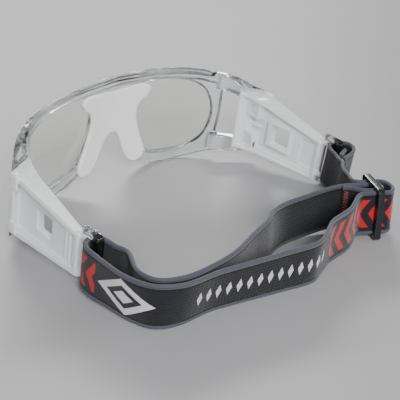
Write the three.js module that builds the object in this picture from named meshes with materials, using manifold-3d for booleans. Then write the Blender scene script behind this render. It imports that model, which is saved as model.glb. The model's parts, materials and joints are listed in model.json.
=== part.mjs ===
// Sports protective goggles: a clear wrap-round front with two lenses, a soft nose piece,
// two frosted side plates, a swivelling strap loop at the back of each plate, and one long
// elastic strap that is doubled behind the head and adjusted by a three-bar slider.
// Millimetres. X is the wearer's right, Y is forward, Z is up.
import * as THREE from 'three';
import { mergeVertices } from 'three/addons/utils/BufferGeometryUtils.js';
import Module from 'manifold-3d';

const wasm = await Module();
wasm.setup();

// ---- driving dimensions ----------------------------------------------------------------
const REST_PITCH = THREE.MathUtils.degToRad(9); // the goggles lie tipped back by this much
const REST_LIFT = -0.4;         // set so that the front just touches the surface
const SHIFT_Y = -8.87;          // puts the origin under the middle of the whole object
const GAP = 0.3;                // clearance between touching pieces

const FRONT_Y = 75.5;           // lens surface at the nose, in the upright goggles
const WRAP_SPAN = 60;           // the wrap curve is written for this half width
const WRAP_SQUARE = 4.5;        // how far the curve falls back at that half width
const WRAP_QUARTIC = 5.5;
const WRAP_OCTIC = 2.6;         // turns the ends back quickly
const THINNING = 0.5;           // share of its thickness that the front loses towards its ends
const LEAN = 0.1;               // below LEAN_TOP the front leans forward by this much for each millimetre
const LEAN_TOP = 15;
const FRONT_Z = [-14, 44];
const FRONT_HALF = 61.5;        // half width of the front wall
const SHELF_HALF = 63;          // the brow shelf runs this far out, into the arms
const RIM_BACK = 3.0;           // rims stand this far behind the lens surface
const RIM_FRONT = 2.4;
const BROW_BACK = 5.0;          // the brow shelf reaches this far behind it
const BROW_SLOPE = 0.75;        // and climbs by this much for each millimetre backwards
const BROW_THICK = 5.2;
const LENS_THICK = 2.0;
const GROOVE = 1.0;             // how far a lens edge sits inside its rim
const BROW_Z = [16, 60];        // heights between which the brow shelf is cut to shape
const CHANNEL_DEEP = 1.6;       // the channel along the top of the brow
const CHANNEL_HALF = 56;
const CHANNEL_Y = [-2.6, -0.4];
const LENS_SPAN = [5, 66];      // wide enough for a lens from its nose end to its outer end
const SPREAD = 68;              // outlines of the front reach this far out, past its ends

const PLATE_FRONT_Y = 52;
const PLATE_REAR_Y = 4.3;
const PLATE_OUTER_X = { front: 77.7, rear: 76.6 };
const PLATE_INNER_X = { front: 66.9, rear: 72.1 };
const PLATE_FLARE = 2.7;        // the inner edge bends inwards by this much at the front
const PLATE_TOP = { front: [30.6, 30.4], rear: [21.6, 22.9] };  // inner edge, outer edge
const PLATE_FOOT = { front: [0.2, 2.0], rear: [0.8, 3.5] };
const PLATE_SKEW = 6.6;         // the outer front corner stands this far behind the inner one
const FLANGE = 2.6;
const LEDGE = 1.2;              // a step along the inner rim
const WEB = 2.2;
const WEB_INNER_X = { front: 71.0, rear: 72.9 };
const SOCKET_DEEP = 10.5;       // how far a prong reaches into its plate
const PRONG_Z = [[24.2, 27.6], [2.6, 6.0]];
const PRONG_X = [69.2, 72.0];
const PRONG_ROOT_Y = 52.8;
const HOUSINGS = [{ y: 40, z: [18.8, 29.4] }, { y: 41, z: [1.6, 10.6] }];
const LUG_Z = [[23.6, 30.2], [3, 8.4]];
const GRIP_RIB_Y = [8.6, 11.2, 13.8];

const NOSE_Y = 73.5;            // middle of the nose piece's thickness, at its centre
const NOSE_THICK = 2.2;
const NOSE_CURVE = 0.005;

const HOLE = {
  y: 27.4,
  z: 13.8,
  long: 8.6,
  high: 8.4,
  flare: 0.3,
  boss: 1.8,
};

const LOOP_X = [72.6, 76.0];
const LOOP_Z = [1.3, 26.1];
const LOOP_ARM = 2.2;
const LOOP_REAR_Y = -6.0;
const LOOP_BAR = 4.4;
const PIVOT_Y = 2.7;            // hinge line of a strap loop
const PIN_RADIUS = 0.6;
const KNUCKLE = 3.0;

const WEBBING_WIDE = 20;
const WEBBING_THICK = 1.6;
const SLIDER = {
  x: 46.5,
  y: -47,
  foot: 0.3,
  turn: 35,
  long: 20.4,
  high: 23.6,
  thick: 3.0,
  bar: 2.8,
  edge: 1.6,
};

const FAR = 120;                // longer than anything that a prism has to cut
const FACET = 3;                // length of a facet along the wrap

const X_AXIS = new THREE.Vector3(1, 0, 0);
const Y_AXIS = new THREE.Vector3(0, 1, 0);
const Z_AXIS = new THREE.Vector3(0, 0, 1);

// ---- materials -------------------------------------------------------------------------
const finish = (color, roughness, opacity = 1) => () => new THREE.MeshStandardMaterial({
  color,
  roughness,
  metalness: 0,
  opacity,
  transparent: opacity < 1,
});
const clearPlastic = finish(0xe9eef0, 0.06, 0.35);
const lensPlastic = finish(0xe6e4dc, 0.04, 0.25);
const frostedPlastic = finish(0xd8dadc, 0.42);
const silicone = finish(0xd6d8d6, 0.5);
const webbing = finish(0x3c3c44, 0.9);
const thread = finish(0x2c2c33, 0.85);
const blackPlastic = finish(0x141416, 0.4);
const steel = () => new THREE.MeshStandardMaterial({ color: 0x9a948c, roughness: 0.35, metalness: 1 });

// ---- solids ----------------------------------------------------------------------------
function solidOf(geometry) {
  const bare = geometry.index ? geometry.toNonIndexed() : geometry.clone();
  bare.deleteAttribute('normal');
  bare.deleteAttribute('uv');
  const merged = mergeVertices(bare, 1e-4);
  return new wasm.Manifold(new wasm.Mesh({
    numProp: 3,
    vertProperties: new Float32Array(merged.attributes.position.array),
    triVerts: new Uint32Array(merged.index.array),
  }));
}

function geometryOf(solid) {
  const mesh = solid.getMesh();
  const geometry = new THREE.BufferGeometry();
  geometry.setAttribute('position', new THREE.BufferAttribute(new Float32Array(mesh.vertProperties), 3));
  geometry.setIndex(new THREE.BufferAttribute(new Uint32Array(mesh.triVerts), 1));
  geometry.computeVertexNormals();
  return geometry;
}

const joined = (solids) => solids.reduce((sum, solid) => sum.add(solid));
const without = (solid, cuts) => cuts.reduce((rest, cut) => rest.subtract(cut), solid);

function piece(name, geometry, material) {
  const mesh = new THREE.Mesh(geometry, material());
  mesh.name = name;
  return mesh;
}

function block(x, y, z) {
  const box = new THREE.BoxGeometry(x[1] - x[0], y[1] - y[0], z[1] - z[0]);
  box.translate((x[0] + x[1]) / 2, (y[0] + y[1]) / 2, (z[0] + z[1]) / 2);
  return solidOf(box);
}

// An outline drawn as [across, up] and pushed along the third axis.
function prism(outline, plane, from, to) {
  const shape = outline instanceof THREE.Shape ? outline
    : new THREE.Shape(outline.map(([a, b]) => new THREE.Vector2(a, b)));
  const geometry = new THREE.ExtrudeGeometry(shape, { depth: to - from, bevelEnabled: false });
  geometry.translate(0, 0, from);
  if (plane === 'xz') geometry.rotateX(Math.PI / 2);
  if (plane === 'yz') {
    geometry.applyMatrix4(new THREE.Matrix4().makeBasis(Y_AXIS, Z_AXIS, X_AXIS));
  }
  return solidOf(geometry);
}

// An outline drawn as [x, z] and pushed forward from the middle of the head.
const forward = (outline) => prism(outline, 'xz', -FAR, 0);

// A solid modelled on the right is mirrored for the left.
const onSide = (solid, side) => (side < 0 ? solid.mirror([1, 0, 0]) : solid);

// A closed outline through a few points, rounded by a Catmull-Rom curve.
function rounded(points, steps = 48) {
  const corners = points.map(([a, b]) => new THREE.Vector3(a, b, 0));
  const curve = new THREE.CatmullRomCurve3(corners, true, 'centripetal');
  return new THREE.Shape(curve.getPoints(steps).slice(0, -1).map((p) => new THREE.Vector2(p.x, p.y)));
}

// ---- the wrap-round front --------------------------------------------------------------
function wrap(x) {
  const u = x / WRAP_SPAN;
  return FRONT_Y - WRAP_SQUARE * u ** 2 - WRAP_QUARTIC * u ** 4 - WRAP_OCTIC * u ** 8;
}

const thinned = (x) => 1 - THINNING * Math.min(Math.abs(x) / WRAP_SPAN, 1) ** 4;
const even = () => 1;

// A wall that follows the wrap, from `back` to `front` of the lens surface.
function wrappedWall(xs, back, front, zs, share = thinned) {
  const steps = Math.ceil((xs[1] - xs[0]) / FACET);
  const box = new THREE.BoxGeometry(xs[1] - xs[0], front - back, zs[1] - zs[0], steps, 1, 2);
  box.translate((xs[0] + xs[1]) / 2, (front + back) / 2, (zs[0] + zs[1]) / 2);
  const at = box.attributes.position;
  for (let i = 0; i < at.count; i += 1) {
    const x = at.getX(i);
    const lean = LEAN * Math.max(LEAN_TOP - at.getZ(i), 0);
    at.setY(i, at.getY(i) * share(x) + wrap(x) + lean);
  }
  return solidOf(box);
}

const OPENING = [[12.8, 30], [16, 35.4], [23, 37.2], [35, 36.4], [45, 34], [53, 29.6], [57, 21.5],
  [57.4, 10], [54.6, 1], [47, -3.8], [36, -4.4], [25, -1.8], [18.4, 1.2], [15.8, 8], [13.6, 20]];

// Moves each point of an open half outline outwards along its own normal.
function grownHalf(points, by) {
  return points.map(([x, z], i) => {
    const [ax, az] = points[Math.max(i - 1, 0)];
    const [bx, bz] = points[Math.min(i + 1, points.length - 1)];
    const length = Math.hypot(bx - ax, bz - az);
    const onMiddle = i === 0 || i === points.length - 1;
    const nx = onMiddle ? 0 : -(bz - az) / length;
    const nz = (bx - ax) / length;
    return [x + nx * by, z + nz * by];
  });
}

function grown(points, by) {
  const middleX = points.reduce((sum, [x]) => sum + x, 0) / points.length;
  const middleZ = points.reduce((sum, [, z]) => sum + z, 0) / points.length;
  return points.map(([x, z]) => {
    const share = by / Math.hypot(x - middleX, z - middleZ);
    return [x + (x - middleX) * share, z + (z - middleZ) * share];
  });
}

const BROW_TOP = [[0, 42.7], [10, 42], [20, 41.1], [30, 39.3], [40, 37], [50, 33.2], [55, 30], [60, 26.6],
  [64, 22.6], [SPREAD, 20]];
const UNDER = [[SPREAD, -5.2], [60, -6.6], [52, -9.2], [42, -10.9], [32, -10.4], [23, -7.6], [16, -2.1],
  [12, 6], [9, 15], [5, 23.5], [0, 25.5]];

// Half an outline is rounded and then mirrored. `edge` closes it on the far side.
function bothSides(half, edge) {
  const corners = half.map(([x, z]) => new THREE.Vector3(x, z, 0));
  const curve = new THREE.CatmullRomCurve3(corners, false, 'centripetal');
  const right = curve.getPoints(half.length * 3).map((p) => [p.x, p.y]);
  const left = right.slice(1).reverse().map(([x, z]) => [-x, z]);
  return [...right, ...edge, ...left];
}

// Tips a prism that runs forward, so that it climbs towards the back.
function sloped(solid) {
  const lift = BROW_SLOPE * FRONT_Y;
  return solid.transform([1, 0, 0, 0, 0, 1, -BROW_SLOPE, 0, 0, 0, 1, 0, 0, 0, lift, 1]);
}

// An arm runs back from a corner of the front and ends in the prong that enters the plate.
const ARM_PLAN = [[58, 60], [61.5, 57.2], [63.4, 55], [64.8, 52.1], [77.2, 46], [74.6, 49.4], [72, 52.4],
  [70, 54.8], [67, 57.6], [64, 60.2], [61.5, 62.4], [58, 65.4]];
const TOP_ARM = [[44, 26.4], [51, 27.4], [55, 28.4], [60, 30], [68, 30], [68, 38.4], [60, 37.4], [57, 36.2],
  [54.6, 34.8], [52, 33.2], [49, 32], [44, 30.8]];
const LOW_ARM = [[44, 0.4], [47, -1.6], [51, -3], [58, -4], [68, -5], [68, 4.6], [44, 4.6]];

function arms(side) {
  const plan = prism(ARM_PLAN, 'xy', -FAR, FAR);
  const bars = [TOP_ARM, LOW_ARM].map((profile) => prism(profile, 'yz', 0, FAR).intersect(plan));
  const ends = PRONG_Z.map((z) => block(PRONG_X, [PLATE_FRONT_Y - SOCKET_DEEP + 0.7, PRONG_ROOT_Y], z));
  const root = block(PRONG_X, [PLATE_FRONT_Y - 1.4, PRONG_ROOT_Y], [PRONG_Z[0][0], 30]);
  return onSide(joined([...bars, ...ends, root]), side);
}

// What lies below the top of the brow, or below a surface `drop` under it.
function underBrow(drop) {
  const edge = BROW_TOP.map(([x, z]) => [x, z - drop]);
  return sloped(forward(bothSides(edge, [[SPREAD, -30], [-SPREAD, -30]])));
}

// The space in which a lens sits, or its groove, which `by` grows on every face.
function lensSolid(by) {
  const thick = LENS_THICK / 2 + by;
  return forward(rounded(grown(OPENING, GROOVE + by)))
    .intersect(wrappedWall(LENS_SPAN, -thick, thick, FRONT_Z, even));
}

function frontFrame() {
  const aboveFoot = forward(bothSides([...UNDER].reverse(), [[SPREAD, 60], [-SPREAD, 60]]));
  const rims = wrappedWall([-FRONT_HALF, FRONT_HALF], -RIM_BACK, RIM_FRONT, FRONT_Z)
    .intersect(aboveFoot).intersect(underBrow(0));
  const shelf = wrappedWall([-SHELF_HALF, SHELF_HALF], -BROW_BACK, RIM_FRONT, BROW_Z)
    .intersect(underBrow(0)).subtract(underBrow(BROW_THICK));
  const channel = wrappedWall([-CHANNEL_HALF, CHANNEL_HALF], ...CHANNEL_Y, BROW_Z)
    .subtract(underBrow(CHANNEL_DEEP));
  const openings = [1, -1].map((side) => onSide(forward(rounded(OPENING)), side));
  const grooves = [1, -1].map((side) => onSide(lensSolid(GAP), side));
  const shell = joined([rims, shelf, arms(1), arms(-1)]);
  return without(shell, [channel, ...openings, ...grooves, noseSolid(GAP)]);
}

// ---- nose piece ------------------------------------------------------------------------
const NOSE = [[0, 37], [12, 37.4], [18.2, 37.2], [20.8, 35.2], [19.6, 32], [15.2, 28.4], [13.8, 22.5],
  [16.6, 12], [20.4, 2.4], [19.6, -1.8], [16, -3.6], [12.2, -2.4], [8.6, 2.6], [4.4, 12], [1.4, 15.4],
  [0, 15.6]];

// `by` grows the nose piece all round, to cut its pocket in the front.
function noseSolid(by) {
  const outline = forward(bothSides(grownHalf(NOSE, by), []));
  const slab = new THREE.BoxGeometry(50, NOSE_THICK + 2 * by, 46, 24, 1, 1);
  slab.translate(0, NOSE_Y, 15.5);
  const at = slab.attributes.position;
  for (let i = 0; i < at.count; i += 1) at.setY(i, at.getY(i) - NOSE_CURVE * at.getX(i) ** 2);
  return solidOf(slab).intersect(outline);
}

// ---- side plates -----------------------------------------------------------------------
const fromRear = (y) => (y - PLATE_REAR_Y) / (PLATE_FRONT_Y - PLATE_REAR_Y);
const between = (ends, y) => THREE.MathUtils.lerp(ends.rear, ends.front, fromRear(y));
const bend = (y) => PLATE_FLARE * Math.max((fromRear(y) - 0.7) / 0.3, 0) ** 1.6;
const innerX = (y) => between(PLATE_INNER_X, y) - bend(y);
const outerX = (y) => between(PLATE_OUTER_X, y);
const webInner = (y) => between(WEB_INNER_X, y);
const webOuter = (y) => webInner(y) + WEB;
const across = (y, x) => (x - innerX(y)) / (outerX(y) - innerX(y));

// The height of a long edge of the plate, which is tilted from its inner to its outer side.
function edgeZ(edge, y, x) {
  const inner = THREE.MathUtils.lerp(edge.rear[0], edge.front[0], fromRear(y));
  const outer = THREE.MathUtils.lerp(edge.rear[1], edge.front[1], fromRear(y));
  return THREE.MathUtils.lerp(inner, outer, across(y, x));
}

const plateTop = (y, x) => edgeZ(PLATE_TOP, y, x);
const plateFoot = (y, x) => edgeZ(PLATE_FOOT, y, x);
const flat = (value) => () => value;

// A wedge between two stations of a plate. Its sides depend on y, its foot and top on y and x.
function wedge(ys, inner, outer, foot, top) {
  const steps = Math.ceil((ys[1] - ys[0]) / 5);
  const box = new THREE.BoxGeometry(1, ys[1] - ys[0], 1, 1, steps, 1);
  box.translate(0.5, (ys[0] + ys[1]) / 2, 0.5);
  const at = box.attributes.position;
  for (let i = 0; i < at.count; i += 1) {
    const y = at.getY(i);
    const x = THREE.MathUtils.lerp(inner(y), outer(y), at.getX(i));
    const z = THREE.MathUtils.lerp(foot(y, x), top(y, x), at.getZ(i));
    at.setXYZ(i, x, y - PLATE_SKEW * across(y, x) * fromRear(y), z);
  }
  return solidOf(box);
}

// The square hole in the web widens towards the head.
function funnel() {
  const box = new THREE.BoxGeometry(6, HOLE.long, HOLE.high);
  box.translate(webInner(HOLE.y) + 1, 0, 0);
  const at = box.attributes.position;
  for (let i = 0; i < at.count; i += 1) {
    const inwards = Math.max(webOuter(HOLE.y) - at.getX(i), 0);
    at.setY(i, HOLE.y + at.getY(i) + Math.sign(at.getY(i)) * HOLE.flare * inwards);
    at.setZ(i, HOLE.z + at.getZ(i) + Math.sign(at.getZ(i)) * HOLE.flare * inwards);
  }
  return solidOf(box);
}

// Raised and sunken fields on the web's inner side, and the two windows in the prong housings.
function raisedFields() {
  const rib = wedge([41.5, 53], (y) => webInner(y) - 1, webOuter, flat(14), flat(15));
  const boss = wedge([HOLE.y - 6, HOLE.y + 9], (y) => webInner(y) - HOLE.boss, webOuter,
    flat(HOLE.z - 6.6), flat(HOLE.z + 6.6));
  return [rib, boss];
}

function sunkenFields() {
  const panel = wedge([7.6, 16], flat(65), (y) => webInner(y) + 0.6, flat(5.6), flat(19));
  const windows = HOUSINGS.map(({ y, z }) => wedge([y + 2.2, y + 8.6], flat(60), flat(PRONG_X[0] - 0.8),
    flat(z[0] + 1.4), flat(z[0] + 6.6)));
  return [panel, ...windows];
}

// The two recesses, one on each side of the web, with a ledge along the inner rim.
function recesses() {
  const along = (margin) => [PLATE_REAR_Y + margin, PLATE_FRONT_Y - margin];
  const low = (margin) => (y, x) => plateFoot(y, x) + margin;
  const high = (margin) => (y, x) => plateTop(y, x) - margin;
  const ledge = (y) => (innerX(y) + webInner(y)) / 2;
  const rim = FLANGE - LEDGE;
  return [
    wedge(along(rim), (y) => innerX(y) - 1, ledge, low(rim), high(rim)),
    wedge(along(FLANGE), (y) => ledge(y) - 0.5, webInner, low(FLANGE), high(FLANGE)),
    wedge(along(FLANGE), webOuter, (y) => outerX(y) + 1, low(FLANGE), high(FLANGE)),
  ];
}

// Thick blocks inside the front of the plate, which hold the sockets for the prongs.
function housings() {
  return HOUSINGS.map(({ y, z }) => wedge([y + 1.5, PLATE_FRONT_Y], flat(PRONG_X[0] - 1.3), webOuter,
    flat(z[0]), flat(z[1])));
}

function sockets() {
  const x = [PRONG_X[0] - GAP, PRONG_X[1] + GAP];
  const y = [PLATE_FRONT_Y - SOCKET_DEEP, PLATE_FRONT_Y + 1];
  return PRONG_Z.map((z) => block(x, y, [z[0] - GAP, z[1] + GAP]));
}

// Lugs that stand out at the outer front corners, and fine ribs on the outer side at the rear.
function outerTrim() {
  const lugs = LUG_Z.map(([foot, top]) => wedge([PLATE_FRONT_Y - 5, PLATE_FRONT_Y],
    (y) => outerX(y) - 1, (y) => outerX(y) + 0.8, flat(foot), flat(top)));
  const ribs = GRIP_RIB_Y.map((start) => wedge([start, start + 0.9],
    (y) => webInner(y) + 1, (y) => webOuter(y) + 0.4, flat(6.5), flat(19)));
  return [...lugs, ...ribs];
}

// Knuckles at the rear, inside the arms of the strap loop.
function knuckles() {
  const x = [LOOP_X[0] + 0.4, LOOP_X[1] - 0.4];
  const y = [PIVOT_Y - 1.2, PLATE_REAR_Y + 2.2];
  const low = LOOP_Z[0] + LOOP_ARM;
  const high = LOOP_Z[1] - LOOP_ARM;
  return [block(x, y, [low + GAP, low + KNUCKLE]), block(x, y, [high - KNUCKLE, high - GAP])];
}

function sidePlate(side) {
  const body = wedge([PLATE_REAR_Y, PLATE_FRONT_Y], innerX, outerX, plateFoot, plateTop);
  const raised = joined([without(body, recesses()), ...raisedFields(), ...housings(), ...outerTrim()]);
  const cut = without(raised, [...sunkenFields(), funnel(), ...sockets()]);
  return onSide(joined([cut, ...knuckles()]).subtract(pinSolid(PIN_RADIUS + GAP)), side);
}

// ---- strap loops and their pins --------------------------------------------------------
const PIVOT_X = (LOOP_X[0] + LOOP_X[1]) / 2;

function pinSolid(radius, z = LOOP_Z) {
  const rod = new THREE.CylinderGeometry(radius, radius, z[1] - z[0] - 1.2, 16);
  rod.rotateX(Math.PI / 2);
  rod.translate(PIVOT_X, PIVOT_Y, (z[0] + z[1]) / 2);
  return solidOf(rod);
}

// A loop is the common part of its side view and its plan, with a slot for the webbing.
function strapLoop(side) {
  const tip = PIVOT_Y + 1.2;
  const [low, high] = LOOP_Z;
  const [near, far] = LOOP_X;
  const corner = 2;
  const cut = 0.6;
  const sideView = [[tip, low], [tip, high], [LOOP_REAR_Y + corner, high], [LOOP_REAR_Y + cut, high - cut],
    [LOOP_REAR_Y, high - corner], [LOOP_REAR_Y, low + corner], [LOOP_REAR_Y + cut, low + cut],
    [LOOP_REAR_Y + corner, low]];
  const plan = [[near, LOOP_REAR_Y], [far, LOOP_REAR_Y], [far, tip - 1], [far - 0.8, tip],
    [near + 0.8, tip], [near, tip - 1]];
  const ring = prism(sideView, 'yz', near, far).intersect(prism(plan, 'xy', -FAR, FAR));
  const slot = block([near - 1, far + 1], [LOOP_REAR_Y + LOOP_BAR, tip + 3],
    [low + LOOP_ARM, high - LOOP_ARM]);
  return onSide(without(ring, [slot, pinSolid(PIN_RADIUS + 0.05)]), side);
}

const loopPin = (side) => onSide(pinSolid(PIN_RADIUS), side);

// ---- strap -----------------------------------------------------------------------------
// A station is [x, y, dx, dy, lift]: the foot of the webbing in plan, how far its top edge stands to one
// side of its foot, and how high the foot is.
// `band` says which part of the width is made, from 0 at the foot to 1 at the head.
function ribbon(stations, steps, thick = WEBBING_THICK, band = [0, 1]) {
  const curve = (points) => new THREE.CatmullRomCurve3(points, false, 'centripetal');
  const foot = curve(stations.map(([x, y, , , lift]) => new THREE.Vector3(x, y, lift)));
  const head = curve(stations.map(([x, y, dx, dy, lift]) => {
    const rise = Math.sqrt(WEBBING_WIDE ** 2 - dx * dx - dy * dy);
    return new THREE.Vector3(x + dx, y + dy, lift + rise);
  }));
  const box = new THREE.BoxGeometry(1, thick, 1, steps, 1, 1);
  const at = box.attributes.position;
  for (let i = 0; i < at.count; i += 1) {
    const t = THREE.MathUtils.clamp(at.getX(i) + 0.5, 0, 1);
    const low = foot.getPoint(t);
    const high = head.getPoint(t);
    const up = new THREE.Vector3().subVectors(high, low).normalize();
    const side = new THREE.Vector3().crossVectors(up, foot.getTangent(t)).normalize();
    const share = THREE.MathUtils.lerp(band[0], band[1], at.getZ(i) + 0.5);
    const where = new THREE.Vector3().lerpVectors(low, high, share);
    where.addScaledVector(side, at.getY(i));
    at.setXYZ(i, where.x, where.y, where.z);
  }
  return box;
}

const LEAN_BACK = -WEBBING_WIDE * Math.sin(REST_PITCH);
const LOOP_FOOT = LOOP_Z[0] + LOOP_ARM + 0.2;

// A station beside a strap loop, given in the upright goggles.
function byLoop(x, y) {
  const foot = y * Math.cos(REST_PITCH) - LOOP_FOOT * Math.sin(REST_PITCH);
  const lift = y * Math.sin(REST_PITCH) + LOOP_FOOT * Math.cos(REST_PITCH) + REST_LIFT;
  return [x, foot, 0, LEAN_BACK, lift];
}

const FLOOR = 0.25;             // height of a webbing edge that lies on the surface
const IN_SLIDER = 2.1;          // height of the webbing inside the slider
const SLIDER_TURN = THREE.MathUtils.degToRad(SLIDER.turn);
const THROUGH = new THREE.Vector2(Math.cos(SLIDER_TURN), -Math.sin(SLIDER_TURN));
const ACROSS = new THREE.Vector2(Math.sin(SLIDER_TURN), Math.cos(SLIDER_TURN));

// A station by the slider: `through` its slots and `across` its bars, from its middle.
function bySlider(through, across, lift = IN_SLIDER) {
  const x = SLIDER.x + THROUGH.x * through + ACROSS.x * across;
  const y = SLIDER.y + THROUGH.y * through + ACROSS.y * across;
  return [x, y, 0, 0, lift];
}

const NEAR_LAYER = -6.2;
const FAR_LAYER = 6.2;
const SEWN_LAYER = 3.1;
const SEWN_END = -13.4;

const LEFT_TURN = [byLoop(-80.2, -8.6), byLoop(-79.9, -4.8), byLoop(-78.2, -1.3), byLoop(-75.6, -0.1),
  byLoop(-73, -0.1), byLoop(-71.1, -1.6), byLoop(-70.3, -5), byLoop(-69.9, -8.6)];

const OUTER_RUN = [byLoop(-80.3, -9.9), [-79.8, -18, -1.4, -1.2, 1.2], [-79.2, -31, -2.3, -0.2, FLOOR],
  [-76.6, -40.4, -2.0, -2.4, FLOOR], [-69.5, -44.4, -0.8, -4.4, FLOOR], [-53.5, -45.6, -0.4, -5.2, FLOOR],
  [-40, -49.3, -0.6, -4.8, FLOOR], [-24, -54.2, -1.0, -3.8, FLOOR], [-9, -58.2, -0.4, -3.0, FLOOR],
  [0, -55.8, 0.4, -1.8, FLOOR], [9, -52.8, 0, -0.8, FLOOR], [24, -51.4, 0, -0.2, 0.6],
  bySlider(-8, NEAR_LAYER, 1.8), bySlider(-4, NEAR_LAYER), bySlider(2.4, NEAR_LAYER)];

const INNER_RUN = [byLoop(-69.9, -9.9), [-69.2, -18, -0.4, -0.6, 1.4], [-74.8, -31.4, -1.2, -0.2, 0.5],
  [-73.2, -39, -1.6, -1.4, FLOOR], [-66, -41.8, -0.6, -3.4, FLOOR], [-53, -42.6, -0.2, -3.6, FLOOR],
  [-38, -41.9, 0, -2.6, FLOOR], [-22, -38.4, 0, -0.8, FLOOR], [-9, -35.2, 0, 0, FLOOR],
  [-1, -31.2, 0, 0, FLOOR], [8, -29.6, 0, 0, FLOOR], [20, -30.6, 0, 0, FLOOR], [30, -32.8, 0, 0, 0.9],
  bySlider(SEWN_END - 0.3, SEWN_LAYER)];

const HAIRPIN = [bySlider(2.7, NEAR_LAYER), bySlider(5.2, -6.0), bySlider(7.4, -3.6), bySlider(8.1, 0),
  bySlider(7.4, 3.6), bySlider(5.2, 6.0), bySlider(2.7, FAR_LAYER)];

const LEAD = [bySlider(2.4, FAR_LAYER), bySlider(-3, FAR_LAYER), bySlider(-6.4, 8.2),
  bySlider(-6.4, 13.4, 2.2), [53.6, -24.2, 0, -1.6, 2.4], [59.6, -18.4, 0, -2.7, 2.8], byLoop(62.7, -14.4)];

const SLIDER_LOOP = [bySlider(SEWN_END, SEWN_LAYER), bySlider(-6, 3.3), bySlider(0, SEWN_LAYER),
  bySlider(2.6, 2.3), bySlider(3.5, 0), bySlider(2.6, -2.3), bySlider(0, -SEWN_LAYER), bySlider(-4, -3.0),
  bySlider(-7.4, -1.4), bySlider(-10.4, 0.7), bySlider(SEWN_END, 1.1)];

const RIGHT_LOOP = [byLoop(64.5, -12.0), byLoop(66.6, -8.6), byLoop(68.4, -4.8), byLoop(70.6, -1.7),
  byLoop(73, -0.15), byLoop(75.8, -0.15), byLoop(79.2, -1.6), byLoop(81.62, -4.8), byLoop(80.6, -8.6),
  byLoop(76.4, -11.6), byLoop(70.8, -12.8), byLoop(66.2, -13.7)];

const RIGHT_TAIL = [byLoop(68.0, -10.6), byLoop(70.6, -9.4), byLoop(74.6, -8.2)];

const STITCH_THICK = 0.5;
const STITCH_BAND = [0.08, 0.92];
const RIGHT_STITCH = [byLoop(66.6, -14.95), byLoop(68.6, -14.55)];
const SLIDER_STITCH = [bySlider(-13.2, -0.3), bySlider(-11.4, -0.5)];

function strapPieces() {
  return [
    piece('strap_outer_run', ribbon(OUTER_RUN, 56), webbing),
    piece('strap_inner_run', ribbon(INNER_RUN, 56), webbing),
    piece('strap_left_turn', ribbon(LEFT_TURN, 24), webbing),
    piece('strap_hairpin', ribbon(HAIRPIN, 20), webbing),
    piece('strap_lead', ribbon(LEAD, 24), webbing),
    piece('strap_slider_loop', ribbon(SLIDER_LOOP, 36), webbing),
    piece('strap_right_loop', ribbon(RIGHT_LOOP, 36), webbing),
    piece('strap_right_tail', ribbon(RIGHT_TAIL, 6), webbing),
    piece('stitch_right', ribbon(RIGHT_STITCH, 2, STITCH_THICK, STITCH_BAND), thread),
    piece('stitch_slider', ribbon(SLIDER_STITCH, 2, STITCH_THICK, STITCH_BAND), thread),
  ];
}

// ---- slider ----------------------------------------------------------------------------
function slider() {
  const corner = 1.2;
  const half = SLIDER.long / 2;
  const top = SLIDER.high;
  const outline = [[-half + corner, 0], [half - corner, 0], [half, corner], [half, top - corner],
    [half - corner, top], [-half + corner, top], [-half, top - corner], [-half, corner]];
  const plate = prism(outline, 'yz', -SLIDER.thick / 2, SLIDER.thick / 2);
  const slots = [1, -1].map((end) => {
    const near = end * SLIDER.bar / 2;
    const far = end * (half - SLIDER.bar);
    const across = [Math.min(near, far), Math.max(near, far)];
    return block([-SLIDER.thick, SLIDER.thick], across, [SLIDER.edge, top - SLIDER.edge]);
  });
  const mesh = piece('slider', geometryOf(without(plate, slots)), blackPlastic);
  mesh.position.set(SLIDER.x, SLIDER.y, SLIDER.foot);
  mesh.rotation.z = -SLIDER_TURN;
  return mesh;
}

// ---- assembly --------------------------------------------------------------------------
function hardPieces() {
  const upright = new THREE.Group();
  upright.add(
    piece('front_frame', geometryOf(frontFrame()), clearPlastic),
    piece('nose_piece', geometryOf(noseSolid(0)), silicone),
  );
  for (const [name, side] of [['right', 1], ['left', -1]]) {
    upright.add(
      piece(`lens_${name}`, geometryOf(onSide(lensSolid(0), side)), lensPlastic),
      piece(`side_plate_${name}`, geometryOf(sidePlate(side)), frostedPlastic),
      piece(`strap_loop_${name}`, geometryOf(strapLoop(side)), clearPlastic),
      piece(`loop_pin_${name}`, geometryOf(loopPin(side)), steel),
    );
  }
  upright.rotation.x = REST_PITCH;
  upright.position.z = REST_LIFT;
  return upright;
}

const goggles = new THREE.Group();
goggles.add(hardPieces(), slider(), ...strapPieces());
goggles.position.y = SHIFT_Y;

export default goggles;
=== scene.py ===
"""Sports protective goggles: looks, soft goods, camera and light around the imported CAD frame.

Lengths are in millimetres in the shape functions and become metres in `metres`.
X is the wearer's right, Y forward, Z up.
"""

import json
import math

import bmesh
import bpy
import numpy as np
from mathutils import Matrix, Vector

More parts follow.
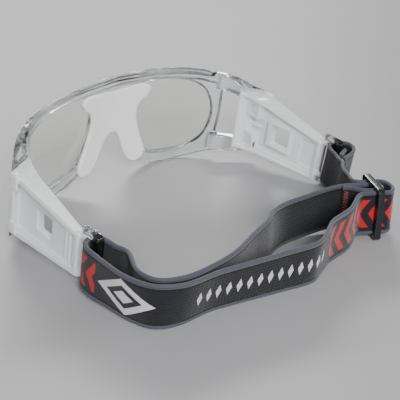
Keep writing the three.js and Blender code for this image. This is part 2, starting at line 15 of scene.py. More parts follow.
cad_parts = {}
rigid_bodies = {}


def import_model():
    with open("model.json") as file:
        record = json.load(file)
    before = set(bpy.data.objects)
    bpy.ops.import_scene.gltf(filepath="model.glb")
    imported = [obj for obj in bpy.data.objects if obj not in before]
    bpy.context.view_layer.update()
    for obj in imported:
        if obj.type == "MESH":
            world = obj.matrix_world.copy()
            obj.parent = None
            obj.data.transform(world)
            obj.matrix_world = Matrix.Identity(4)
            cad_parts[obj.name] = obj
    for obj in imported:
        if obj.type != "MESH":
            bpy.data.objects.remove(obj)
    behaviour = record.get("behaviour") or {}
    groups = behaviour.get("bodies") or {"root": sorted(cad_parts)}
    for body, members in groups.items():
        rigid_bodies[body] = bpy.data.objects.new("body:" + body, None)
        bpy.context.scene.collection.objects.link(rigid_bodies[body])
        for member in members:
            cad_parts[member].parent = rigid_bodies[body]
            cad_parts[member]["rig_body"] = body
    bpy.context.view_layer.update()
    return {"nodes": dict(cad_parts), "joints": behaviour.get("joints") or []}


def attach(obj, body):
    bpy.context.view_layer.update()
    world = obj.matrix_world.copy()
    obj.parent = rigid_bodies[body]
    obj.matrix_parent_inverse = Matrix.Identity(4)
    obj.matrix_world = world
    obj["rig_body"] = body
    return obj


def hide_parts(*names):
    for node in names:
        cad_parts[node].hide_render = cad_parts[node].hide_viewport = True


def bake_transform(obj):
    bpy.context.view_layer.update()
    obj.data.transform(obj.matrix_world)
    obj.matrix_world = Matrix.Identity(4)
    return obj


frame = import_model()

MM = 0.001
NODES = frame["nodes"]


# ---- places taken from the frame -------------------------------------------------------
def joint_named(name):
    """The joint with that name."""
    return next(j for j in frame["joints"] if j["name"] == name)


SWIVEL = joint_named("loop_right_swivel")
REST_PITCH = math.asin(-SWIVEL["axis"][1])  # the goggles lie tipped back by this much
PIVOT_Y, PIVOT_Z = 2.7, 13.7  # the hinge line of a strap loop, in the upright goggles
COS, SIN = math.cos(REST_PITCH), math.sin(REST_PITCH)
SHIFT_Y = SWIVEL["pos_m"][1] / MM - (PIVOT_Y * COS - PIVOT_Z * SIN)
REST_LIFT = SWIVEL["pos_m"][2] / MM - (PIVOT_Y * SIN + PIVOT_Z * COS)


def metres(points):
    """Millimetres in the strap's own coordinates become metres in the frame."""
    return (np.asarray(points, float) + np.array([0, SHIFT_Y, 0])) * MM


def upright(x, y, z):
    """A point given in the upright goggles, as it lies on the surface."""
    return np.array([x, y * COS - z * SIN, y * SIN + z * COS + REST_LIFT])


# ---- small node helpers ----------------------------------------------------------------
def new_material(name):
    """An empty material, its nodes, its links and its principled shader."""
    material = bpy.data.materials.new(name)
    material.use_nodes = True
    nodes, links = material.node_tree.nodes, material.node_tree.links
    return material, nodes, links, nodes["Principled BSDF"]


def math_node(nodes, links, operation, a, b=None, clamp=False):
    """A math node whose inputs are numbers or sockets."""
    node = nodes.new("ShaderNodeMath")
    node.operation = operation
    node.use_clamp = clamp
    for socket, value in zip(node.inputs, (a, b)):
        if value is None:
            continue
        if isinstance(value, (int, float)):
            socket.default_value = value
        else:
            links.new(value, socket)
    return node.outputs[0]


def noise_node(nodes, links, scale, detail=3.0, stretch=(1, 1, 1)):
    """Noise over the object's own coordinates."""
    place = nodes.new("ShaderNodeTexCoord")
    spread = nodes.new("ShaderNodeMapping")
    spread.inputs["Scale"].default_value = stretch
    noise = nodes.new("ShaderNodeTexNoise")
    noise.inputs["Scale"].default_value = scale
    noise.inputs["Detail"].default_value = detail
    links.new(place.outputs["Object"], spread.inputs["Vector"])
    links.new(spread.outputs["Vector"], noise.inputs["Vector"])
    return noise.outputs["Fac"]


def span(nodes, links, value, low, high):
    """0..1 becomes low..high."""
    node = nodes.new("ShaderNodeMapRange")
    node.inputs["To Min"].default_value = low
    node.inputs["To Max"].default_value = high
    links.new(value, node.inputs["Value"])
    return node.outputs["Result"]


def bump_node(nodes, links, shader, height, strength, distance):
    """Bump from a height socket."""
    bump = nodes.new("ShaderNodeBump")
    bump.inputs["Strength"].default_value = strength
    bump.inputs["Distance"].default_value = distance
    links.new(height, bump.inputs["Height"])
    links.new(bump.outputs["Normal"], shader.inputs["Normal"])


def two_colours(nodes, links, factor, first, second):
    """A colour between two, by a factor socket."""
    mix = nodes.new("ShaderNodeMix")
    mix.data_type = "RGBA"
    for socket, value in ((mix.inputs[6], first), (mix.inputs[7], second)):
        if isinstance(value, tuple):
            socket.default_value = (*value, 1)
        else:
            links.new(value, socket)
    links.new(factor, mix.inputs[0])
    return mix.outputs[2]


def varied(nodes, links, shader, factor, colours, roughness):
    """Base colour and roughness that vary with a factor socket."""
    links.new(two_colours(nodes, links, factor, *colours), shader.inputs["Base Color"])
    links.new(span(nodes, links, factor, *roughness), shader.inputs["Roughness"])


def settings(shader, **values):
    """Sets sockets that are the same all over, named with _ for each space."""
    for name, value in values.items():
        shader.inputs[name.replace("_", " ")].default_value = value


# ---- materials -------------------------------------------------------------------------
def clear_plastic(name, tint, roughness, scratch):
    """Clear polycarbonate: refracting, with faint handling marks."""
    material, nodes, links, shader = new_material(name)
    wear = noise_node(nodes, links, 260, 5)
    shade = tuple(c * 0.97 for c in tint)
    varied(nodes, links, shader, wear, (tint, shade), (roughness * 0.5, roughness * 1.8))
    settings(shader, Transmission_Weight=1.0, IOR=1.58, Coat_Weight=0.4, Coat_Roughness=0.03)
    bump_node(nodes, links, shader, noise_node(nodes, links, 90, 2), scratch, 0.0002)
    return material


def frosted_plastic():
    """Translucent moulded plastic with a fine spark-eroded grain and flow marks."""
    material, nodes, links, shader = new_material("frosted_plastic_look")
    cloud = noise_node(nodes, links, 120, 4)
    flow = noise_node(nodes, links, 160, 3, (1, 0.15, 1))
    shade = math_node(nodes, links, "MULTIPLY", cloud, flow)
    tone = two_colours(nodes, links, shade, (0.84, 0.86, 0.88), (1.0, 1.0, 0.99))
    links.new(tone, shader.inputs["Base Color"])
    links.new(span(nodes, links, cloud, 0.26, 0.40), shader.inputs["Roughness"])
    settings(shader, Transmission_Weight=0.42, IOR=1.5, Coat_Weight=0.25, Coat_Roughness=0.18)
    settings(shader, Subsurface_Weight=0.4, Subsurface_Radius=(1.0, 1.0, 1.0), Subsurface_Scale=0.0016)
    bump_node(nodes, links, shader, noise_node(nodes, links, 2200, 2), 0.25, 0.0001)
    return material


def silicone():
    """Milky silicone with a soft sheen and a light dusting of wear."""
    material, nodes, links, shader = new_material("silicone_look")
    cloud = noise_node(nodes, links, 70, 4)
    varied(nodes, links, shader, cloud, ((0.84, 0.85, 0.84), (0.93, 0.93, 0.91)), (0.30, 0.46))
    settings(shader, Transmission_Weight=0.2, Coat_Weight=0.2, Coat_Roughness=0.25)
    settings(shader, Subsurface_Weight=0.6, Subsurface_Radius=(1.0, 0.95, 0.9), Subsurface_Scale=0.002)
    bump_node(nodes, links, shader, noise_node(nodes, links, 1500, 2), 0.15, 0.0001)
    return material


def black_plastic():
    """Satin black nylon."""
    material, nodes, links, shader = new_material("black_plastic_look")
    cloud = noise_node(nodes, links, 300, 4)
    varied(nodes, links, shader, cloud, ((0.004, 0.004, 0.005), (0.010, 0.010, 0.012)), (0.18, 0.34))
    bump_node(nodes, links, shader, noise_node(nodes, links, 1800, 2), 0.2, 0.0001)
    return material


def pin_steel():
    """Drawn steel wire, slightly stained."""
    material, nodes, links, shader = new_material("pin_steel_look")
    streak = noise_node(nodes, links, 900, 3, (1, 1, 0.05))
    varied(nodes, links, shader, streak, ((0.30, 0.25, 0.22), (0.55, 0.52, 0.50)), (0.2, 0.45))
    settings(shader, Metallic=1.0)
    return material


def thread_material(name, dark, light):
    """Twisted sewing thread, in two shades."""
    material, nodes, links, shader = new_material(name)
    twist = noise_node(nodes, links, 1400, 2)
    links.new(two_colours(nodes, links, twist, dark, light), shader.inputs["Base Color"])
    settings(shader, Roughness=0.7, Sheen_Weight=0.3)
    bump_node(nodes, links, shader, twist, 0.4, 0.0001)
    return material


CHARCOAL = (0.004, 0.004, 0.006)
# painted highlight: the lighter charcoal in which the raised threads of the weave are painted
CHARCOAL_PAINTED_HIGHLIGHT = (0.024, 0.025, 0.038)
SELVAGE = (0.066, 0.068, 0.090)
# painted shade: the groove beside the selvage is painted near black
GROOVE_PAINTED_SHADE = (0.004, 0.004, 0.005)
WOVEN_RED = (0.44, 0.006, 0.008)
WOVEN_WHITE = (0.62, 0.58, 0.61)
PICK, END = 0.62, 0.9  # spacing of the weave along and across the webbing
GROOVE_SPAN = (7.5, 8.3)  # where the groove beside the selvage lies, from the middle


class Maker:
    """Short names for building one material's node maths."""

    def __init__(self, nodes, links):
        self.nodes, self.links = nodes, links

    def do(self, operation, a, b=None, clamp=False):
        """A math node's result."""
        return math_node(self.nodes, self.links, operation, a, b, clamp)

    def read(self, name):
        """The value of one of the mesh's own attributes."""
        node = self.nodes.new("ShaderNodeAttribute")
        node.attribute_name = name
        return node.outputs["Fac"]

    def inside(self, value, low, high):
        """1 where value is between low and high."""
        above = self.do("GREATER_THAN", value, low)
        return self.do("MULTIPLY", above, self.do("LESS_THAN", value, high))

    def wave(self, value, pitch):
        """0..1..0 triangle wave of that pitch."""
        return self.do("PINGPONG", self.do("DIVIDE", value, pitch / 2), 1.0)


def webbing(marks):
    """Elastic webbing: two-way weave, lighter rolled selvage, and plain geometric woven marks, with painted
    highlight on the raised threads and painted shade in the hollows, between the selvage ribs and in the
    groove.
    """
    material, nodes, links, shader = new_material("webbing_look")
    m = Maker(nodes, links)
    along, across, face = m.read("along"), m.read("across"), m.read("outer")
    rib = m.wave(along, PICK)
    warp = m.wave(across, END)
    column = m.do("ROUND", m.do("DIVIDE", across, END))
    offset = m.wave(m.do("ADD", along, m.do("MULTIPLY", column, PICK / 2)), PICK)
    weave = m.do("MULTIPLY", offset, m.do("ADD", m.do("MULTIPLY", warp, 0.6), 0.4))
    lint = noise_node(nodes, links, 900, 4)
    # painted highlight and shade: the weave's raised threads lighter, its hollows darker
    cloth_with_painted_shade = two_colours(nodes, links, m.do("MULTIPLY", weave, lint), CHARCOAL, CHARCOAL_PAINTED_HIGHLIGHT)
    from_middle = m.do("ABSOLUTE", across)
    # painted shade: the selvage darker between its ribs, lighter on them
    selvage_rib_painted_shade = two_colours(nodes, links, rib, tuple(c * 0.55 for c in SELVAGE), SELVAGE)
    # painted shade: the groove beside the selvage painted near black
    cloth_with_painted_shade = two_colours(nodes, links, m.inside(from_middle, *GROOVE_SPAN), cloth_with_painted_shade, GROOVE_PAINTED_SHADE)
    colour = two_colours(nodes, links, m.do("GREATER_THAN", from_middle, GROOVE_SPAN[1]), cloth_with_painted_shade, selvage_rib_painted_shade)
    for build, woven in ((marks["white"], WOVEN_WHITE), (marks["red"], WOVEN_RED)):
        mask = m.do("MULTIPLY", build(m, along, across), face)
        # painted shade: each woven mark darker in the hollows of the weave, lighter on its raised threads
        shade = tuple(c * 0.72 for c in woven)
        tone = two_colours(nodes, links, m.do("MULTIPLY", offset, 0.8), shade, woven)
        colour = two_colours(nodes, links, mask, colour, tone)
    links.new(colour, shader.inputs["Base Color"])
    links.new(span(nodes, links, lint, 0.72, 0.95), shader.inputs["Roughness"])
    settings(shader, Sheen_Weight=0.15, Sheen_Roughness=0.4, Specular_IOR_Level=0.25)
    height = m.do("ADD", weave, m.do("MULTIPLY", lint, 0.4))
    bump_node(nodes, links, shader, height, 0.7, 0.00025)
    return material


# ---- webbing along one curve -----------------------------------------------------------
WEBBING_WIDE = 20.0
LEAN_BACK = -WEBBING_WIDE * math.sin(REST_PITCH)
LOOP_FOOT = 3.7  # height of the webbing's lower edge in a strap loop, in the upright goggles
FLOOR = 0.25  # height of a webbing edge that lies on the surface
IN_SLIDER = 2.1  # height of the webbing inside the slider
SLIDER_X, SLIDER_Y = 46.5, -47.0
SLIDE = Vector(joint_named("slider_slide")["axis"])
THROUGH = (SLIDE.x, SLIDE.y)
ACROSS = (-SLIDE.y, SLIDE.x)


def by_loop(x, y):
    """A station beside a strap loop, given in the upright goggles."""
    foot = upright(x, y, LOOP_FOOT)
    return (foot[0], foot[1], 0, LEAN_BACK, foot[2])


def by_slider(through, across, lift=IN_SLIDER):
    """A station by the slider, from its middle."""
    x = SLIDER_X + THROUGH[0] * through + ACROSS[0] * across
    y = SLIDER_Y + THROUGH[1] * through + ACROSS[1] * across
    return (x, y, 0, 0, lift)


NEAR_LAYER, FAR_LAYER, SEWN_LAYER, SEWN_END = -6.2, 6.2, 3.1, -13.4

RIGHT_LOOP = [
    by_loop(66.2, -13.7), by_loop(70.8, -12.8), by_loop(76.4, -11.6), by_loop(80.6, -8.6),
    by_loop(81.62, -4.8), by_loop(79.2, -1.6), by_loop(75.8, -0.15), by_loop(73, -0.15),
    by_loop(70.6, -1.7), by_loop(68.4, -4.8), by_loop(66.6, -8.6), by_loop(64.5, -12.0),
]
RIGHT_TAIL = [by_loop(68.0, -10.6), by_loop(70.6, -9.4), by_loop(74.6, -8.2)]
LEAD = [
    (59.6, -18.4, 0, -2.7, 2.8), (53.6, -24.2, 0, -1.6, 2.4), by_slider(-6.4, 13.4, 2.2),
    by_slider(-6.4, 8.2), by_slider(-3, FAR_LAYER), by_slider(2.5, FAR_LAYER),
]
HAIRPIN = [
    by_slider(5.2, 6.0), by_slider(7.4, 3.6), by_slider(8.1, 0), by_slider(7.4, -3.6), by_slider(5.2, -6.0),
]
OUTER_RUN = [
    by_slider(2.5, NEAR_LAYER), by_slider(-4, NEAR_LAYER), by_slider(-8, NEAR_LAYER, 1.8),
    (24, -51.4, 0, -0.2, 0.6), (9, -52.8, 0, -0.8, FLOOR), (0, -55.8, 0.4, -1.8, FLOOR),
    (-9, -58.2, -0.4, -3.0, FLOOR), (-24, -54.2, -1.0, -3.8, FLOOR), (-40, -49.3, -0.6, -4.8, FLOOR),
    (-53.5, -45.6, -0.4, -5.2, FLOOR), (-69.5, -44.4, -0.8, -4.4, FLOOR), (-76.6, -40.4, -2.0, -2.4, FLOOR),
    (-79.2, -31, -2.3, -0.2, FLOOR), (-79.8, -18, -1.4, -1.2, 1.2),
]
LEFT_TURN = [
    by_loop(-80.3, -9.4), by_loop(-79.9, -4.8), by_loop(-78.2, -1.3), by_loop(-75.6, -0.1),
    by_loop(-73, -0.1), by_loop(-71.1, -1.6), by_loop(-70.3, -5), by_loop(-69.9, -9.4),
]
INNER_RUN = [
    (-69.2, -18, -0.4, -0.6, 1.4), (-74.8, -31.4, -1.2, -0.2, 0.5), (-73.2, -39, -1.6, -1.4, FLOOR),
    (-66, -41.8, -0.6, -3.4, FLOOR), (-53, -42.6, -0.2, -3.6, FLOOR), (-38, -41.9, 0, -2.6, FLOOR),
    (-22, -38.4, 0, -0.8, FLOOR), (-9, -35.2, 0, 0, FLOOR), (-1, -31.2, 0, 0, FLOOR),
    (8, -29.6, 0, 0, FLOOR), (20, -30.6, 0, 0, FLOOR), (30, -32.8, 0, 0, 0.9),
]
SLIDER_LOOP = [
    by_slider(SEWN_END, SEWN_LAYER), by_slider(-6, 3.3), by_slider(0, SEWN_LAYER), by_slider(2.6, 2.3),
    by_slider(3.5, 0), by_slider(2.6, -2.3), by_slider(0, -SEWN_LAYER), by_slider(-4, -3.0),
    by_slider(-7.4, -1.4), by_slider(-10.4, 0.7), by_slider(SEWN_END, 1.1),
]
STRAP = RIGHT_LOOP + LEAD + HAIRPIN + OUTER_RUN + LEFT_TURN + INNER_RUN + SLIDER_LOOP


def first(part):
    """The place of a part's first station in the whole strap."""
    return STRAP.index(part[0])


def catmull(points, steps):
    """A centripetal Catmull-Rom curve, with `steps` samples for each stretch between two points."""
    points = np.asarray(points, float)
    ends = np.vstack([2 * points[0] - points[1], points, 2 * points[-1] - points[-2]])
    out = []
    for i in range(len(points) - 1):
        p0, p1, p2, p3 = ends[i:i + 4]
        d0, d1, d2 = (max(np.linalg.norm(b - a), 1e-4) ** 0.5 for a, b in ((p0, p1), (p1, p2), (p2, p3)))
        t1 = ((p1 - p0) / d0 - (p2 - p0) / (d0 + d1) + (p2 - p1) / d1) * d1
        t2 = ((p2 - p1) / d1 - (p3 - p1) / (d1 + d2) + (p3 - p2) / d2) * d1
        w = np.arange(steps)[:, None] / steps
        cubic = 2 * p1 - 2 * p2 + t1 + t2
        square = -3 * p1 + 3 * p2 - 2 * t1 - t2
        out.append(((cubic * w + square) * w + t1) * w + p1)
    return np.vstack([*out, points[-1:]])


def unit(rows):
    """Each row scaled to length 1."""
    return rows / np.linalg.norm(rows, axis=1)[:, None]


class Route:
    """The middle line of a length of webbing and its two directions, sampled finely."""

    def __init__(self, stations, steps):
        table = np.array(stations, float)
        x, y, dx, dy, lift = table.T
        rise = np.sqrt(WEBBING_WIDE ** 2 - dx ** 2 - dy ** 2)
        foot = catmull(np.stack([x, y, lift], 1), steps)
        head = catmull(np.stack([x + dx, y + dy, lift + rise], 1), steps)
        self.middle = (foot + head) / 2
        gaps = np.linalg.norm(np.diff(self.middle, axis=0), axis=1)
        self.along = np.concatenate([[0], np.cumsum(gaps)])
        self.up = unit(head - foot)
        self.side = unit(np.cross(self.up, np.gradient(self.middle, axis=0)))

    def at(self, i, across, out):
        """The point at sample i, across the webbing from its middle, and out from its face."""
        return self.middle[i] + self.up[i] * across + self.side[i] * out


ROLL_RADIUS, BODY_HALF, GROOVE_HALF = 0.86, 0.64, 0.42  # half thicknesses of the webbing
ROLL_TURN, ROLL_POINTS = math.pi - 0.9, 9  # how far round the rolled selvage goes
GROOVE_AT, FLAT_TO = 7.95, 7.6  # the groove and the end of the flat body, from the middle
RIPPLE, RIPPLE_PITCH = 0.035, 1.52


def section():
    """Half thickness across the webbing: a flat body, a groove, and a rolled selvage at each edge."""
    selvage = []
    for angle in np.linspace(0, ROLL_TURN, ROLL_POINTS):
        across = -WEBBING_WIDE / 2 + ROLL_RADIUS * (1 - math.cos(angle))
        selvage.append((across, max(ROLL_RADIUS * math.sin(angle), 0.02)))
    selvage.append((-GROOVE_AT, GROOVE_HALF))
    body = []
    for across in np.arange(-FLAT_TO, FLAT_TO + 0.01, RIPPLE_PITCH / 4):
        body.append((across, BODY_HALF + RIPPLE * math.cos(across * 2 * math.pi / RIPPLE_PITCH)))
    return selvage + body + [(-across, half) for across, half in reversed(selvage)]


SECTION = section()


def webbing_piece(name, route, start, end, material):
    """A closed mesh of webbing between two samples of a route."""
    outline = [(v, h, 1.0) for v, h in SECTION] + [(v, -h, 0.0) for v, h in reversed(SECTION)]
    count = len(outline)
    verts, along, across, outer = [], [], [], []
    for i in range(start, end + 1):
        for v, h, face in outline:
            verts.append(route.at(i, v, h))
            along.append(route.along[i])
            across.append(v)
            outer.append(face)
    faces = []
    for ring in range(end - start):
        for k in range(count):
            a, b = ring * count + k, ring * count + (k + 1) % count
            faces.append((a, b, b + count, a + count))
    faces.append(tuple(reversed(range(count))))
    faces.append(tuple((end - start) * count + k for k in range(count)))
    mesh = bpy.data.meshes.new(name)
    mesh.from_pydata([tuple(p) for p in metres(verts)], [], faces)
    for title, values in (("along", along), ("across", across), ("outer", outer)):
        mesh.attributes.new(title, "FLOAT", "POINT").data.foreach_set("value", np.array(values, np.float32))
    mesh.materials.append(material)
    obj = bpy.data.objects.new(name, mesh)
    bpy.context.scene.collection.objects.link(obj)
    fix_normals(obj)
    smooth(obj, 50)
    return obj


def fix_normals(obj):
    """Turns a closed mesh's faces outwards."""
    bm = bmesh.new()
    bm.from_mesh(obj.data)
    bmesh.ops.recalc_face_normals(bm, faces=bm.faces)
    bm.to_mesh(obj.data)
    bm.free()


def smooth(obj, degrees):
    """Smooth shading, with edges sharper than that angle kept."""
    for polygon in obj.data.polygons:
        polygon.use_smooth = True
    obj.data.set_sharp_from_angle(angle=math.radians(degrees))


# ---- moulded pieces --------------------------------------------------------------------
def moulded(node, material, voxel, rounds):
    """A copy of a CAD node with the small edge radii of a moulding."""
    source = NODES[node]
    obj = bpy.data.objects.new(node + "_moulded", source.data.copy())
    obj.data.materials.clear()
    bpy.context.scene.collection.objects.link(obj)
    remesh = obj.modifiers.new("remesh", "REMESH")
    remesh.mode = "VOXEL"
    remesh.voxel_size = voxel * MM
    relax = obj.modifiers.new("relax", "SMOOTH")
    relax.factor = 0.5
    relax.iterations = rounds
    apply_modifiers(obj)
    obj.data.materials.append(material)
    for polygon in obj.data.polygons:
        polygon.use_smooth = True
    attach(obj, source["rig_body"])
    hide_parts(node)


def apply_modifiers(obj):
    """Turns the modifiers into the mesh."""
    depsgraph = bpy.context.evaluated_depsgraph_get()
    mesh = bpy.data.meshes.new_from_object(obj.evaluated_get(depsgraph))
    obj.modifiers.clear()
    obj.data = mesh


def dressed(node, material, degrees=30):
    """A CAD node that keeps its shape and gets a better material."""
    obj = NODES[node]
    obj.data.materials.clear()
    obj.data.materials.append(material)
    smooth(obj, degrees)


# ---- marks woven into the webbing ------------------------------------------------------
DIAMOND_LONG, DIAMOND_HIGH = 14.0, 8.0  # half sizes
DIAMOND_RING, DIAMOND_CORE = (0.62, 0.98), 0.34  # shares of the half sizes
LOZENGE_LONG, LOZENGE_HIGH, LOZENGE_PITCH = 1.3, 3.2, 4.6
CHEVRON_PITCH, CHEVRON_SLANT, CHEVRON_HIGH = 7.5, 0.7, 6.4
CHEVRON_GAP = 0.52  # share of each pitch that stays plain


def white_marks(m, along, across):
    """A diamond inside a diamond, and a row of small lozenges."""
    from_middle = m.do("ABSOLUTE", across)
    beside = m.do("ABSOLUTE", m.do("SUBTRACT", along, MARKS["diamond"]))
    big = m.do("ADD", m.do("DIVIDE", beside, DIAMOND_LONG), m.do("DIVIDE", from_middle, DIAMOND_HIGH))
    ring = m.do("ADD", m.inside(big, *DIAMOND_RING), m.do("LESS_THAN", big, DIAMOND_CORE))
    low, high = MARKS["row"]
    half = LOZENGE_PITCH / 2
    local = m.do("PINGPONG", m.do("SUBTRACT", along, low), half)
    beside = m.do("DIVIDE", m.do("SUBTRACT", half, local), LOZENGE_LONG)
    small = m.do("ADD", beside, m.do("DIVIDE", from_middle, LOZENGE_HIGH))
    dots = m.do("MULTIPLY", m.do("LESS_THAN", small, 1.0), m.inside(along, low, high))
    return m.do("ADD", ring, dots, True)


def red_marks(m, along, across):
    """Bands of chevrons."""
    from_middle = m.do("ABSOLUTE", across)
    slant = m.do("ADD", along, m.do("MULTIPLY", from_middle, CHEVRON_SLANT))
    stripe = m.do("GREATER_THAN", m.wave(slant, CHEVRON_PITCH), CHEVRON_GAP)
    within = None
    for low, high in MARKS["chevrons"]:
        band = m.inside(along, low, high)
        within = band if within is None else m.do("ADD", within, band, True)
    clear_of_edge = m.do("LESS_THAN", from_middle, CHEVRON_HIGH)
    return m.do("MULTIPLY", stripe, m.do("MULTIPLY", within, clear_of_edge))


STEPS, TAIL_STEPS = 14, 10  # samples in each stretch between two stations
ROUTE = Route(STRAP, STEPS)
TAIL_ROUTE = Route(RIGHT_TAIL, TAIL_STEPS)


def length_at(part):
    """Length along the strap at a part's first station."""
    return float(ROUTE.along[first(part) * STEPS])


LEFT_BEND = length_at(LEFT_TURN)
RIGHT_BEND = length_at(HAIRPIN)
MARKS = {
    "diamond": LEFT_BEND - 17.5,
    "row": (LEFT_BEND - 110.4, LEFT_BEND - 46.0),
    "chevrons": ((LEFT_BEND - 2.0, LEFT_BEND + 9.5), (RIGHT_BEND + 2.0, RIGHT_BEND + 58.0)),
}


# ---- build -----------------------------------------------------------------------------
STANDS_FOR = {
    "webbing_right_loop": "strap_right_loop",
    "webbing_lead": "strap_lead",
    "webbing_through_slider": "strap_hairpin",
    "webbing_outer": "strap_outer_run",
    "webbing_left_loop": "strap_left_turn",
    "webbing_inner": "strap_inner_run",
    "webbing_slider_loop": "strap_slider_loop",
    "webbing_tail": "strap_right_tail",
}


def build_strap():
    """The whole strap, divided where it passes from one moving body to the next."""
    material = webbing({"white": white_marks, "red": red_marks})
    at = {
        "lead": first(LEAD) + 1, "hairpin": first(HAIRPIN) + 2, "outer": first(OUTER_RUN) + 4,
        "left_out": first(LEFT_TURN) - 2, "left_in": first(INNER_RUN) + 1, "inner": first(INNER_RUN) + 9,
        "end": len(STRAP) - 1,
    }
    at = {key: value * STEPS for key, value in at.items()}
    piece = {}
    for name, start, end in (
        ("webbing_right_loop", 0, at["lead"]),
        ("webbing_lead", at["lead"], at["hairpin"]),
        ("webbing_through_slider", at["hairpin"], at["outer"]),
        ("webbing_outer", at["outer"], at["left_out"]),
        ("webbing_left_loop", at["left_out"], at["left_in"]),
        ("webbing_inner", at["left_in"], at["inner"]),
        ("webbing_slider_loop", at["inner"], at["end"]),
    ):
        piece[name] = webbing_piece(name, ROUTE, start, end, material)
    tail_end = (len(RIGHT_TAIL) - 1) * TAIL_STEPS
    piece["webbing_tail"] = webbing_piece("webbing_tail", TAIL_ROUTE, 0, tail_end, material)
    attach(piece["webbing_tail"], "loop_right")

    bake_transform(piece["webbing_right_loop"])
    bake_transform(piece["webbing_lead"])
    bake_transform(piece["webbing_through_slider"])
    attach(piece["webbing_outer"], "goggles")
    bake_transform(piece["webbing_left_loop"])
    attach(piece["webbing_inner"], "goggles")
    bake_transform(piece["webbing_slider_loop"])
    for name, node in STANDS_FOR.items():
        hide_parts(node)


def build_moulded():
    """Frame, lenses, nose piece, plates, loops, slider and pins."""
    clear = clear_plastic("clear_plastic_look", (0.96, 0.98, 0.99), 0.05, 0.02)
    glass = clear_plastic("lens_look", (0.975, 0.965, 0.93), 0.02, 0.005)
    frosted, rubber, black, steel = frosted_plastic(), silicone(), black_plastic(), pin_steel()
    moulded("front_frame", clear, 0.42, 7)
    moulded("nose_piece", rubber, 0.4, 10)
    moulded("slider", black, 0.25, 6)
    for side in ("left", "right"):
        dressed(f"lens_{side}", glass)
        moulded(f"side_plate_{side}", frosted, 0.32, 4)
        moulded(f"strap_loop_{side}", clear, 0.22, 6)
        dressed(f"loop_pin_{side}", steel, 40)


TACK_HALF, TACK_PITCH, THREAD_RADIUS = 7.9, 0.62, 0.2


def bar_tack(node, stations, material, body):
    """Thread sewn to and fro across the webbing, in place of a plain CAD block."""
    route = Route(stations, 1)
    data = bpy.data.curves.new(node + "_thread", "CURVE")
    data.dimensions = "3D"
    data.bevel_depth = THREAD_RADIUS * MM
    data.bevel_resolution = 2
    data.use_fill_caps = True
    rows = np.arange(-TACK_HALF, TACK_HALF + TACK_PITCH / 2, TACK_PITCH)
    turns = []
    for count, across in enumerate(rows):
        end = count % 2
        turns += [route.at(end, across, 0), route.at(1 - end, across + TACK_PITCH * 0.45, 0)]
    spline = data.splines.new("POLY")
    spline.points.add(len(turns) - 1)
    for point, place in zip(spline.points, metres(turns)):
        point.co = (*place, 1)
    curve = bpy.data.objects.new(node + "_path", data)
    bpy.context.scene.collection.objects.link(curve)
    depsgraph = bpy.context.evaluated_depsgraph_get()
    mesh = bpy.data.meshes.new_from_object(curve.evaluated_get(depsgraph))
    bpy.data.objects.remove(curve)
    obj = bpy.data.objects.new(node + "_thread", mesh)
    bpy.context.scene.collection.objects.link(obj)
    mesh.materials.clear()
    mesh.materials.append(material)
    smooth(obj, 60)
    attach(obj, body)
    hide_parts(node)


def build_stitches():
    """The two bar tacks that close the sewn ends."""
    dark = thread_material("dark_thread", (0.012, 0.012, 0.015), (0.045, 0.045, 0.055))
    flecked = thread_material("flecked_thread", (0.012, 0.012, 0.015), (0.30, 0.010, 0.012))
    bar_tack("stitch_right", [by_loop(66.7, -14.93), by_loop(68.5, -14.57)], dark, "loop_right")
    bar_tack("stitch_slider", [by_slider(-13.1, -0.32), by_slider(-11.5, -0.48)], flecked, "slider")


# ---- floor, light and camera -----------------------------------------------------------
def floor():
    """A plain pale floor."""
    size = 12.0
    mesh = bpy.data.meshes.new("floor")
    corners = [(-size, -size, 0), (size, -size, 0), (size, size, 0), (-size, size, 0)]
    mesh.from_pydata(corners, [], [(0, 1, 2, 3)])
    obj = bpy.data.objects.new("floor", mesh)
    material, nodes, links, shader = new_material("floor_look")
    tone = noise_node(nodes, links, 6, 3)
    colour = two_colours(nodes, links, tone, (0.28, 0.28, 0.29), (0.31, 0.31, 0.32))
    links.new(colour, shader.inputs["Base Color"])
    settings(shader, Roughness=0.55)
    mesh.materials.append(material)
    bpy.context.scene.collection.objects.link(obj)


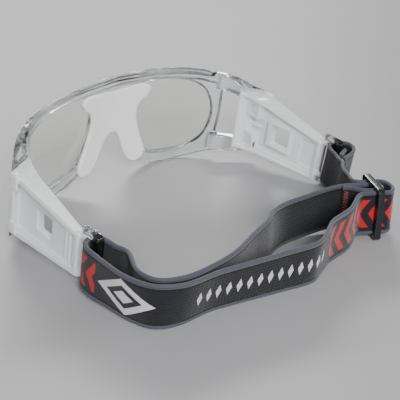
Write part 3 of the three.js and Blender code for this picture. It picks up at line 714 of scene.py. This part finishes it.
def area(name, place, aim, size, power):
    """A soft box."""
    data = bpy.data.lights.new(name, "AREA")
    data.shape = "RECTANGLE"
    data.size, data.size_y = size
    data.energy = power
    obj = bpy.data.objects.new(name, data)
    obj.location = place
    obj.rotation_euler = (Vector(aim) - Vector(place)).to_track_quat("-Z", "Y").to_euler()
    bpy.context.scene.collection.objects.link(obj)


def lights():
    """A soft key from behind and left, a strip in front for the clear edges, and a weak fill."""
    area("key", (-0.52, -0.74, 0.50), (0, 0, 0.02), (0.40, 0.40), 19)
    area("front_strip", (0.45, 0.65, 0.42), (0, 0.03, 0.02), (0.7, 0.12), 8)
    area("fill", (0.5, -0.7, 0.5), (0, 0, 0.02), (0.5, 0.3), 2)
    world = bpy.data.worlds.new("studio")
    world.use_nodes = True
    nodes, links = world.node_tree.nodes, world.node_tree.links
    place = nodes.new("ShaderNodeTexCoord")
    split = nodes.new("ShaderNodeSeparateXYZ")
    links.new(place.outputs["Generated"], split.inputs["Vector"])
    height = math_node(nodes, links, "ABSOLUTE", split.outputs["Z"], clamp=True)
    shade = two_colours(nodes, links, height, (0.26, 0.265, 0.275), (1.0, 1.0, 1.0))
    links.new(shade, nodes["Background"].inputs["Color"])
    nodes["Background"].inputs["Strength"].default_value = 0.4
    bpy.context.scene.world = world


HEADING, PITCH, ROLL = math.radians(46.63), math.radians(24.0), math.radians(1.51)
TARGET = (41.8, 50.7, -15.3)
DISTANCE = 478.0
LENS = 85.0


def camera():
    """The photograph's viewing angle."""
    level = Vector((math.cos(HEADING), -math.sin(HEADING), 0))
    ahead = Vector((math.sin(HEADING), math.cos(HEADING), 0))
    look = ahead * math.cos(PITCH) - Vector((0, 0, math.sin(PITCH)))
    up = level.cross(look)
    right = level * math.cos(ROLL) + up * math.sin(ROLL)
    above = -level * math.sin(ROLL) + up * math.cos(ROLL)
    place = Vector(metres(TARGET)) - look * DISTANCE * MM
    data = bpy.data.cameras.new("camera")
    data.sensor_width = 36.0
    data.lens = LENS
    data.clip_start, data.clip_end = 0.02, 20
    obj = bpy.data.objects.new("camera", data)
    turn = Matrix((right, above, -look)).transposed().to_4x4()
    obj.matrix_world = Matrix.Translation(place) @ turn
    bpy.context.scene.collection.objects.link(obj)
    bpy.context.scene.camera = obj


build_moulded()
build_strap()
build_stitches()
floor()
lights()
camera()
